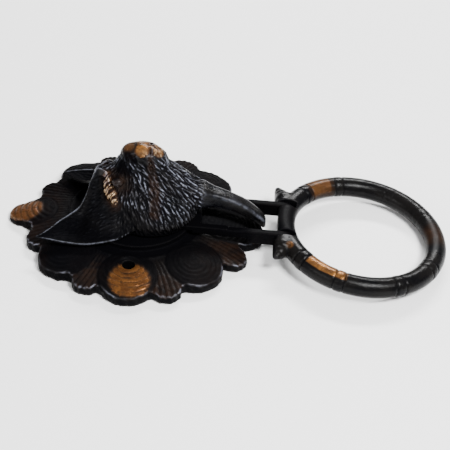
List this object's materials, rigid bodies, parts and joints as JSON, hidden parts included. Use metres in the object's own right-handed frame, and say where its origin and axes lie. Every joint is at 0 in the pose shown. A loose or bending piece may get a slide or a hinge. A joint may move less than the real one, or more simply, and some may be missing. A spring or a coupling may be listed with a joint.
{
  "type": "door knocker",
  "caption": "Cast door knocker: an animal head on a domed rosette plate, with a hinged ring below the head, in dark patina with worn golden highlights.",
  "frame": {"origin": "middle of the back of the plate, halfway between the two fixing holes, on the door's surface", "axes": "+Z out of the door; +X towards the ring, which is down on a door; +Y across the plate"},
  "size_m": [0.2006, 0.106, 0.0477],
  "materials": {
    "cast_patina": "cast brass with a near-black patina, rubbed to golden metal on the high spots",
    "pin_brass": "aged brass",
    "zinc_steel": "zinc plated, dull"
  },
  "bodies": {
    "mounted_body": {"back_plate": "cast_patina", "fox_head": "cast_patina", "hinge_fork": "cast_patina", "throat_screw_left": "zinc_steel", "throat_screw_right": "zinc_steel", "brow_screw": "zinc_steel", "throat_washer_left": "zinc_steel", "throat_washer_right": "zinc_steel", "brow_washer": "zinc_steel"},
    "ring": {"knocker_ring": "cast_patina", "hinge_pin": "pin_brass"}
  },
  "joints": [
    {"name": "ring_swing", "type": "hinge", "parent": "mounted_body", "child": "ring", "pos_m": [0.0672, 0, 0.0098], "axis": [0, -1, 0], "range_deg": [0, 110]}
  ]
}
